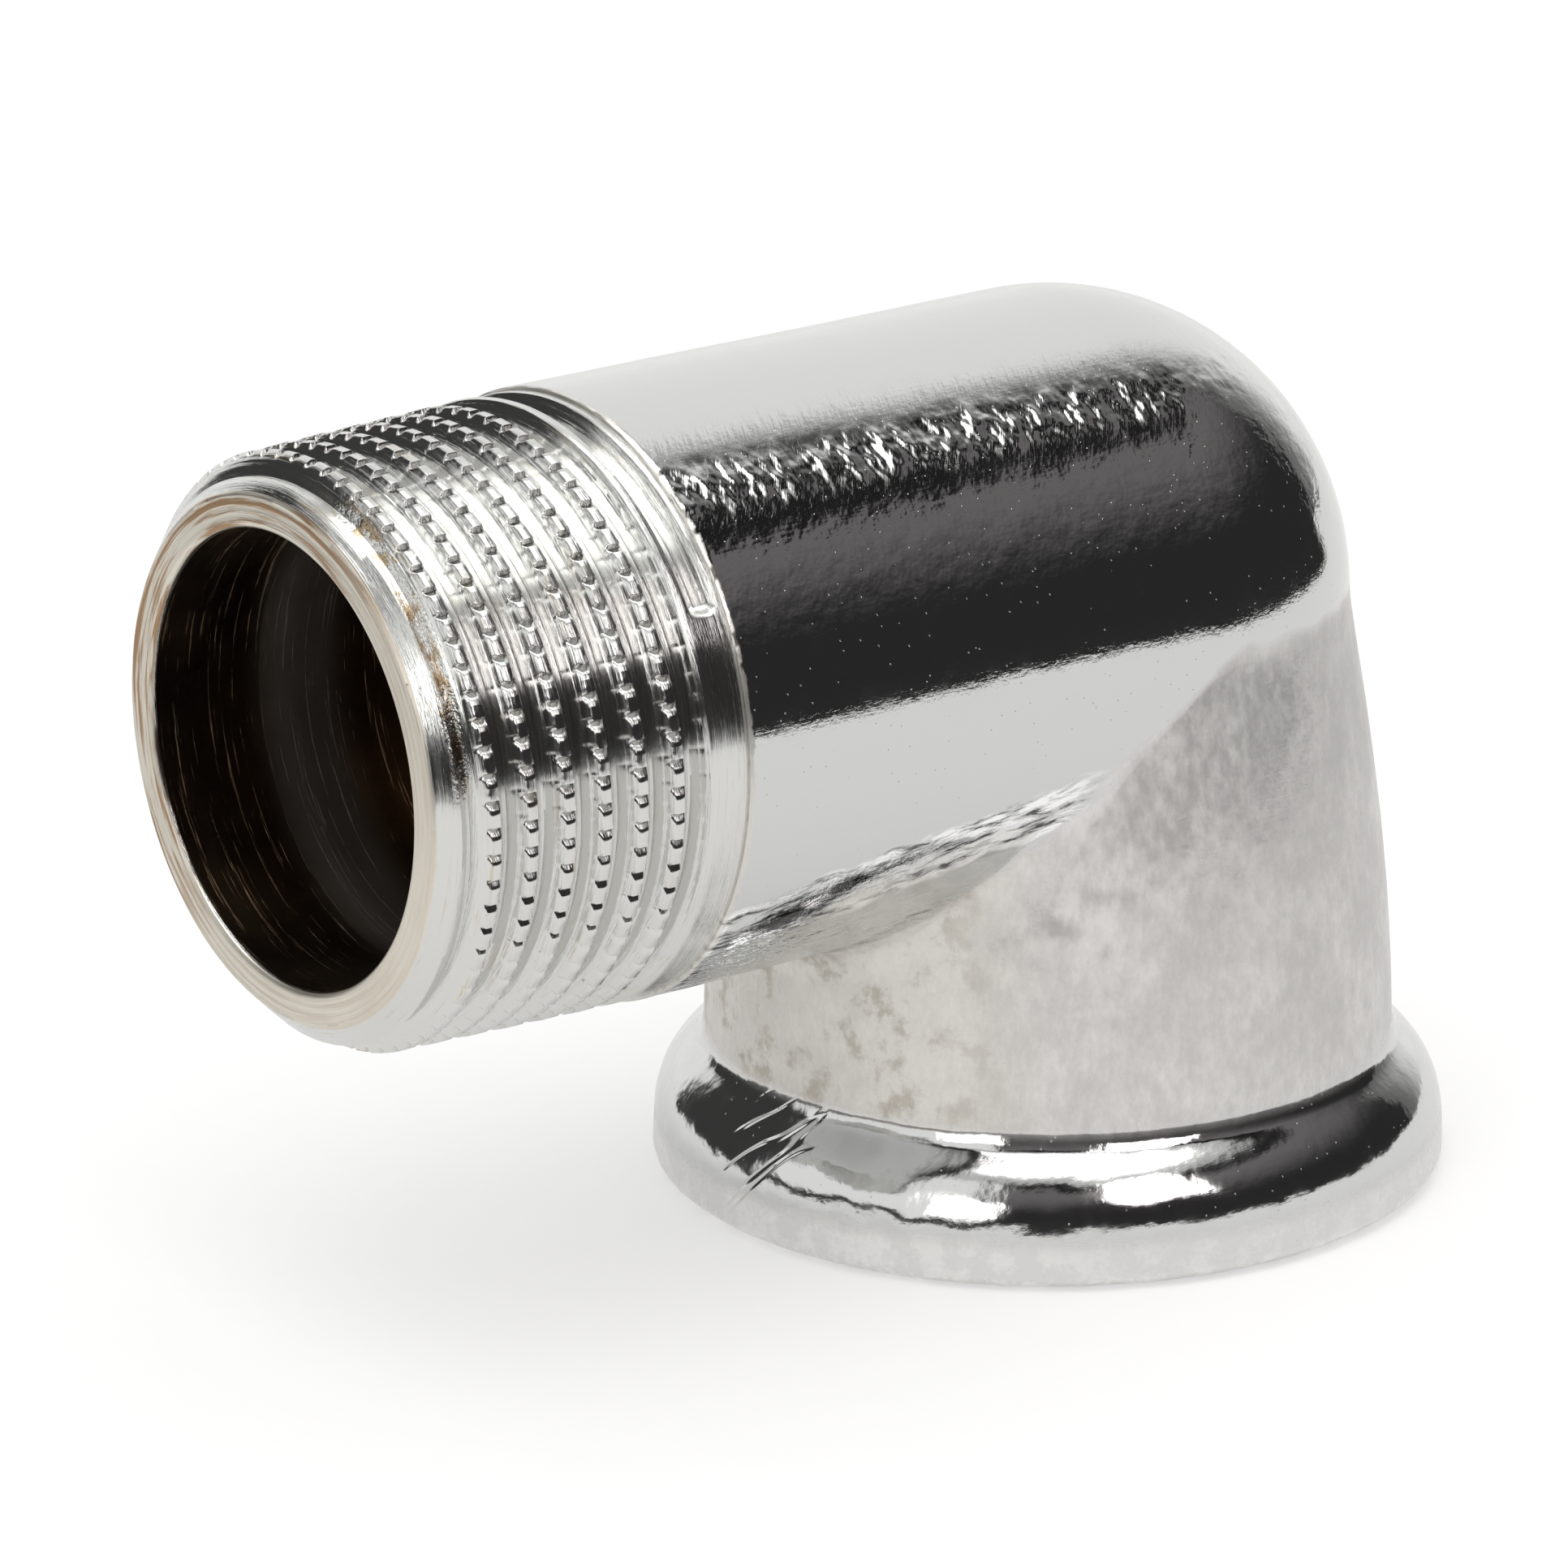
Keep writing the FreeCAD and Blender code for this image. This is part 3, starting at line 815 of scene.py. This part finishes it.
def bare_brass():
    """Machined and cored brass: dark brown in clouds, with fine rings painted bright as
    highlights and a paler grey on the cored wall that is partly painted reflected light.
    """
    m = Finish("brass_bare")
    rings = m.noise(m.stretch(m.place, 6.0, 0.10, 0.10), 1.0, 5.0, 0.8)
    cloud = m.noise(m.place, 0.25, 4.0)
    plain_zone = m.window(m.male_depth, BORE_DEPTH, BORE_DEPTH + 4.0, 1.2)
    # painted highlight: bright lines along the tool rings, faint on the cored wall
    lines = m.product(m.ease(rings, 0.60, 0.64), m.ease(plain_zone, 0, 1, 1.0, 0.15))
    colour = m.blend(m.ease(cloud, 0.35, 0.7), BRASS_DEEP, BRASS_WARM)
    colour = m.blend(lines, colour, PAINTED_RING_GLINT)
    # the cored wall's own grey, lightened in part as painted reflected light
    colour = m.blend(m.product(plain_zone, 0.8), colour, CORED_GREY_AND_PAINTED_LIGHT)
    rough = m.total(0.22, m.product(cloud, 0.15), m.product(plain_zone, 0.25))
    relief = m.total(m.product(lines, 0.06), m.product(cloud, 0.05))
    return m.finish(m.metal(colour, rough, m.bump(relief, 1.0)))


# ---------------------------------------------------------------- studio


OPENING_RIGHT = 92.5             # azimuth of the open front's right edge, 0 facing -Y
ROOM_GLOW = 0.03                 # the dark room beyond the open front


def dark_room(s, azimuth, height):
    """Where the studio's open front shows the room, and how bright the room is: nearly black
    low down, paler higher up, and black again just under the opening's upper edge."""
    share = s.product(s.window(azimuth, -57, OPENING_RIGHT, 2.0),
                      s.ease(height, 53.0, 56.0, 1.0, 0.0))
    light = s.total(ROOM_GLOW, s.product(s.ease(height, 18, 46), 0.15))
    return share, s.product(light, s.ease(height, 45.0, 48.5, 1.0, 0.10))


def dark_left(s, azimuth, height):
    """Where the walls on the left are dark: under their lower edge and in the far corner."""
    under_edge = s.product(s.window(azimuth, -130, -50, 3.0), s.ease(height, 4.0, 7.0, 1.0, 0.0))
    corner = s.product(s.window(azimuth, -176, -128, 4.0), s.ease(height, 42, 49, 1.0, 0.0))
    beside = s.product(s.window(azimuth, -130, -80, 5.0), s.window(height, 27, 47, 4.0), 0.7)
    return s.largest(under_edge, corner, beside)


def white_walls(s, azimuth, height):
    """Brightness of the walls: dim over the opening and to its right, brightest overhead."""
    walls = s.largest(s.ease(height, 55, 75, 0.62, 1.0), s.ease(height, 50, 54, 1.0, 0.0))
    shade = s.product(s.ease(azimuth, 45, 80), s.ease(azimuth, 91, 124, 1.0, 0.0),
                      s.ease(height, 60, 78, 1.0, 0.0))
    walls = s.product(walls, s.ease(shade, 0, 1, 1.0, 0.17))
    return s.total(walls, s.ease(height, 59.5, 67, 0.0, 2.0))


def soft_boxes(s, azimuth, height):
    """Two bright upright panels, one at the opening's left edge and one in its middle."""
    left = s.product(s.window(azimuth, -72, -55, 1.5), s.window(height, 9, 33, 1.5))
    middle = s.product(s.window(azimuth, -21, 14, 1.5), s.window(height, 28, 57, 1.5))
    return s.product(s.largest(left, middle), 3.2)


def add_surroundings():
    """White all round, with a dark room beyond the studio's open front, dark gaps on the left
    and two soft boxes. Only mirror reflections see them: the rest of the light is plain."""
    world = bpy.data.worlds.new("studio")
    bpy.context.scene.world = world
    world.use_nodes = True
    s = Shader(world.node_tree)
    apart = s.node("SeparateXYZ", None, Vector=s.node("TexCoord").outputs["Generated"])
    x, y, z = apart.outputs
    azimuth = s.degrees_round(s.product(y, -1.0), x)
    height = s.product(s.math("ARCSINE", z), 180 / math.pi)
    room, room_light = dark_room(s, azimuth, height)
    around = s.product(white_walls(s, azimuth, height),
                       s.ease(dark_left(s, azimuth, height), 0, 1, 1.0, 0.05))
    seen = s.total(s.product(room, room_light), s.product(s.without(room), around))
    seen = s.largest(seen, soft_boxes(s, azimuth, height))
    path = s.node("LightPath").outputs
    plain = s.largest(path["Is Camera Ray"], path["Is Diffuse Ray"])
    strength = s.total(s.product(seen, s.without(plain)), s.product(plain, 1.08))
    tint = s.blend(room, (1, 1, 0.995, 1), (1, 0.95, 0.96, 1))
    back = s.node("Background", None, Color=tint, Strength=strength)
    s.plug(s.node("OutputWorld").inputs["Surface"], back.outputs[0])


def floor_paint():
    """Pale paint on a lit table. In reflections the table ends at the studio's open front and
    is a little darker than it looks."""
    material = bpy.data.materials.new("floor_paint")
    material.use_nodes = True
    s = Shader(material.node_tree)
    place = s.node("NewGeometry").outputs["Position"]
    x, y, _ = s.node("SeparateXYZ", None, Vector=place).outputs
    edge = 0.208
    azimuth = s.degrees_round(s.product(y, -1.0), x)
    past_edge = s.product(s.ease(s.length(x, y), edge, edge + 0.006),
                          s.window(azimuth, -150, OPENING_RIGHT, 3.0))
    mirrored = s.node("LightPath").outputs["Is Glossy Ray"]
    darkened = s.product(s.largest(past_edge, 0.13), mirrored)
    speck = s.noise(place, 300.0, 2.0)
    speckled = s.blend(speck, (0.86, 0.86, 0.855, 1), (0.88, 0.88, 0.875, 1))
    paint = s.node("BsdfDiffuse", None, Color=speckled)
    room = s.node("Emission", None, Color=(1, 1, 1, 1), Strength=ROOM_GLOW)
    glow = s.node("Emission", None, Color=(1, 1, 1, 1), Strength=0.95)
    surface = s.mix(darkened, s.mix(0.45, paint, glow), room)
    s.plug(s.node("OutputMaterial").inputs["Surface"], surface.outputs[0])
    return material


def add_floor():
    """A plain pale floor under the elbow."""
    bpy.ops.mesh.primitive_plane_add(size=3.0, location=(0, 0, 0))
    floor = bpy.context.object
    floor.name = "floor"
    floor.location.z = cad_low.z
    floor.data.materials.append(floor_paint())


def add_lamp(name, location, size, power):
    """A soft lamp that lights the floor but isn't mirrored."""
    data = bpy.data.lights.new(name, "AREA")
    data.shape = "DISK"
    data.size = size
    data.energy = power
    lamp = bpy.data.objects.new(name, data)
    bpy.context.scene.collection.objects.link(lamp)
    lamp.location = location
    aim = Vector((0, 0, RISE * MM)) - Vector(location)
    lamp.rotation_euler = aim.to_track_quat("-Z", "Y").to_euler()
    lamp.visible_glossy = False


def add_camera():
    """A long lens, low on the male side of the elbow's front."""
    azimuth = math.radians(36.489)
    elevation = math.radians(18.394)
    roll = math.radians(-0.4956)
    distance = 369.97 * MM
    focal_per_width = 5.3371
    aim = Vector((-13.239, 2.062, -7.235 + RISE)) * MM
    away = Vector((-math.sin(azimuth) * math.cos(elevation),
                   -math.cos(azimuth) * math.cos(elevation), math.sin(elevation)))
    right = Vector((math.cos(azimuth), -math.sin(azimuth), 0))
    up = away.cross(right)
    right_rolled = right * math.cos(roll) + up * math.sin(roll)
    up_rolled = up * math.cos(roll) - right * math.sin(roll)
    data = bpy.data.cameras.new("camera")
    data.sensor_width = 36
    data.lens = focal_per_width * data.sensor_width
    data.clip_start = 0.01
    camera = bpy.data.objects.new("camera", data)
    bpy.context.scene.collection.objects.link(camera)
    turned = Matrix((right_rolled, up_rolled, away)).transposed()
    camera.matrix_world = Matrix.Translation(aim + away * distance) @ turned.to_4x4()
    bpy.context.scene.camera = camera


def dress(piece, material, slot, *nodes):
    """Give a piece its finish and its body, and hide the CAD nodes that it stands for. The slot
    is not used.
    """
    piece.data.materials.append(material)
    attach(piece, "root")
    if nodes:
        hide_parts(*nodes)


def main():
    """Build the three pieces, the studio and the camera."""
    angles = np.linspace(0, TURN, COLUMNS + 1)
    dress(add_chrome_thread(), turned_chrome(), "chrome", "chrome_plating")
    dress(add_chrome_body(angles), cast_chrome(), "chrome", "chrome_plating")
    dress(add_brass(angles), bare_brass(), "brass", "elbow_body")
    add_surroundings()
    add_floor()
    add_lamp("key", (-0.35, -0.25, 0.9), 0.7, 2.0)
    add_camera()
    bpy.context.scene.view_settings.view_transform = "Standard"


main()
